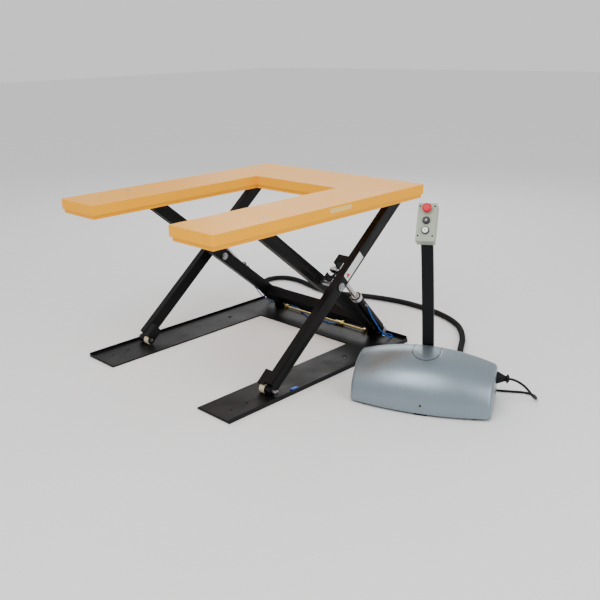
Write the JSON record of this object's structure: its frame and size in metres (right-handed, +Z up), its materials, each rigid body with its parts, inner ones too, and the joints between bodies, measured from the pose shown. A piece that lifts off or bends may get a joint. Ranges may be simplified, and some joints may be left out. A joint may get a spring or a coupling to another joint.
{
  "type": "scissor lift table",
  "caption": "U-shaped low-profile electro-hydraulic scissor lift table, raised, with a floor-standing power unit, a control post with a button box, a floor hose and a mains cord.",
  "frame": {"origin": "on the floor, on the table's centre line, straight below the base's fixed hinge axis", "axes": "+X away from the open end of the U, towards the closed end; +Y away from the power unit's side; +Z up"},
  "size_m": [1.8982, 2.2068, 0.9062],
  "materials": {
    "lift_black": "gloss",
    "lift_yellow": "semi-gloss powder coat",
    "cover_grey": "satin",
    "zinc": "zinc plated",
    "chrome_rod": "polished",
    "pipe_brass": "yellow zinc",
    "roller_cream": "cast nylon",
    "black_rubber": "matte",
    "box_plastic": "satin",
    "black_plastic": "gloss",
    "white_plastic": "gloss",
    "red_plastic": "gloss",
    "motor_cast": "cast"
  },
  "bodies": {
    "base": {"near_rail": "lift_black", "far_rail": "lift_black", "cross_plate": "lift_black", "base_lugs": "lift_black", "base_pins": "zinc", "hydraulic_pipes": "pipe_brass", "pipe_fittings": "pipe_brass", "unit_tray": "lift_black", "unit_feet": "black_rubber", "unit_cover": "cover_grey", "post_cap": "cover_grey", "case_screws": "black_rubber", "oil_tank": "zinc", "tank_breather": "black_plastic", "motor_housing": "motor_cast", "pump_housing": "zinc", "valve_block": "zinc", "contactor_box": "box_plastic", "hose_glands": "black_rubber", "conduit_hose": "black_rubber", "mains_gland": "black_rubber", "mains_cord": "black_rubber", "cord_coil": "black_rubber", "mains_plug": "red_plastic", "control_post": "lift_black", "box_base": "box_plastic", "box_lid": "box_plastic", "button_bezels": "black_plastic", "contact_blocks": "black_plastic"},
    "inner_legs": {"near_inner_leg": "lift_black", "far_inner_leg": "lift_black", "torsion_beam": "lift_black", "upper_axles": "zinc", "centre_pins": "zinc", "barrel_pins": "zinc"},
    "outer_legs": {"near_outer_leg": "lift_black", "far_outer_leg": "lift_black", "lower_axles": "zinc", "rod_brackets": "lift_black"},
    "platform": {"platform_deck": "lift_yellow", "platform_skirt": "lift_yellow", "roller_tracks": "lift_yellow", "top_lugs": "lift_black", "top_pins": "zinc", "lifting_bosses": "zinc", "trip_switches": "black_rubber"},
    "trip_frame": {"safety_frame": "lift_yellow"},
    "near_lower_roller_body": {"near_lower_roller": "roller_cream"},
    "far_lower_roller_body": {"far_lower_roller": "roller_cream"},
    "near_upper_roller_body": {"near_upper_roller": "roller_cream"},
    "far_upper_roller_body": {"far_upper_roller": "roller_cream"},
    "near_barrel_body": {"near_barrel": "lift_black"},
    "far_barrel_body": {"far_barrel": "lift_black"},
    "near_rod_body": {"near_rod": "chrome_rod"},
    "far_rod_body": {"far_rod": "chrome_rod"},
    "estop_button_body": {"estop_button": "red_plastic"},
    "up_button_body": {"up_button": "black_plastic"},
    "down_button_body": {"down_button": "white_plastic"},
    "motor_shaft_body": {"motor_shaft": "zinc"},
    "driven_gear_body": {"driven_gear": "zinc"}
  },
  "joints": [
    {"name": "scissor_lift", "type": "hinge", "parent": "base", "child": "inner_legs", "pos_m": [0, 0, 0.0333], "axis": [0, 1, 0], "range_deg": [-38.9, 0]},
    {"name": "scissor_cross", "type": "hinge", "parent": "inner_legs", "child": "outer_legs", "pos_m": [-0.47731, 0, 0.429], "axis": [0, 1, 0], "range_deg": [0, 77.8]},
    {"name": "platform_hinge", "type": "hinge", "parent": "outer_legs", "child": "platform", "pos_m": [0, 0, 0.8247], "axis": [0, 1, 0], "range_deg": [-38.9, 0]},
    {"name": "trip_frame_lift", "type": "slide", "parent": "platform", "child": "trip_frame", "axis": [0, 0, 1], "range_m": [0, 0.006], "stiffness_N_per_m": 6000, "springref_m": -0.006},
    {"name": "near_lower_roller_spin", "type": "hinge", "parent": "outer_legs", "child": "near_lower_roller_body", "pos_m": [-0.95461, -0.451, 0.0333], "axis": [0, 1, 0], "continuous": true},
    {"name": "near_upper_roller_spin", "type": "hinge", "parent": "inner_legs", "child": "near_upper_roller_body", "pos_m": [-0.95461, -0.398, 0.8247], "axis": [0, 1, 0], "continuous": true},
    {"name": "near_barrel_tilt", "type": "hinge", "parent": "inner_legs", "child": "near_barrel_body", "pos_m": [-0.03273, -0.43, 0.06433], "axis": [0, 1, 0], "range_deg": [-5.67, 0]},
    {"name": "near_rod_stroke", "type": "slide", "parent": "near_barrel_body", "child": "near_rod_body", "axis": [-0.6829, 0, 0.7305], "range_m": [-0.0799, 0.00001]},
    {"name": "far_lower_roller_spin", "type": "hinge", "parent": "outer_legs", "child": "far_lower_roller_body", "pos_m": [-0.95461, 0.451, 0.0333], "axis": [0, 1, 0], "continuous": true},
    {"name": "far_upper_roller_spin", "type": "hinge", "parent": "inner_legs", "child": "far_upper_roller_body", "pos_m": [-0.95461, 0.398, 0.8247], "axis": [0, 1, 0], "continuous": true},
    {"name": "far_barrel_tilt", "type": "hinge", "parent": "inner_legs", "child": "far_barrel_body", "pos_m": [-0.03273, 0.43, 0.06433], "axis": [0, 1, 0], "range_deg": [-5.67, 0]},
    {"name": "far_rod_stroke", "type": "slide", "parent": "far_barrel_body", "child": "far_rod_body", "axis": [-0.6829, 0, 0.7305], "range_m": [-0.0799, 0.00001]},
    {"name": "estop_press", "type": "slide", "parent": "base", "child": "estop_button_body", "axis": [0.7954, 0.3431, -0.4996], "range_m": [0, 0.0045], "stiffness_N_per_m": 1200, "springref_m": -0.002},
    {"name": "up_press", "type": "slide", "parent": "base", "child": "up_button_body", "axis": [0.7954, 0.3431, -0.4996], "range_m": [0, 0.0035], "stiffness_N_per_m": 900, "springref_m": -0.002},
    {"name": "down_press", "type": "slide", "parent": "base", "child": "down_button_body", "axis": [0.7954, 0.3431, -0.4996], "range_m": [0, 0.0035], "stiffness_N_per_m": 900, "springref_m": -0.002},
    {"name": "motor_spin", "type": "hinge", "parent": "base", "child": "motor_shaft_body", "pos_m": [-0.45644, -1.10814, 0.086], "axis": [0.4163, -0.9092, 0], "continuous": true},
    {"name": "driven_gear_spin", "type": "hinge", "parent": "base", "child": "driven_gear_body", "pos_m": [-0.50848, -0.99448, 0.0534], "axis": [0.4163, -0.9092, 0], "continuous": true}
  ],
  "couplings": [
    {"joint": "scissor_cross", "follows": "scissor_lift", "ratio": -2},
    {"joint": "platform_hinge", "follows": "scissor_lift", "ratio": 1},
    {"joint": "near_barrel_tilt", "follows": "scissor_lift", "ratio": 0.1458},
    {"joint": "near_rod_stroke", "follows": "scissor_lift", "m_per_rad": 0.11767},
    {"joint": "far_barrel_tilt", "follows": "scissor_lift", "ratio": 0.1458},
    {"joint": "far_rod_stroke", "follows": "scissor_lift", "m_per_rad": 0.11767},
    {"joint": "driven_gear_spin", "follows": "motor_spin", "ratio": -1}
  ]
}
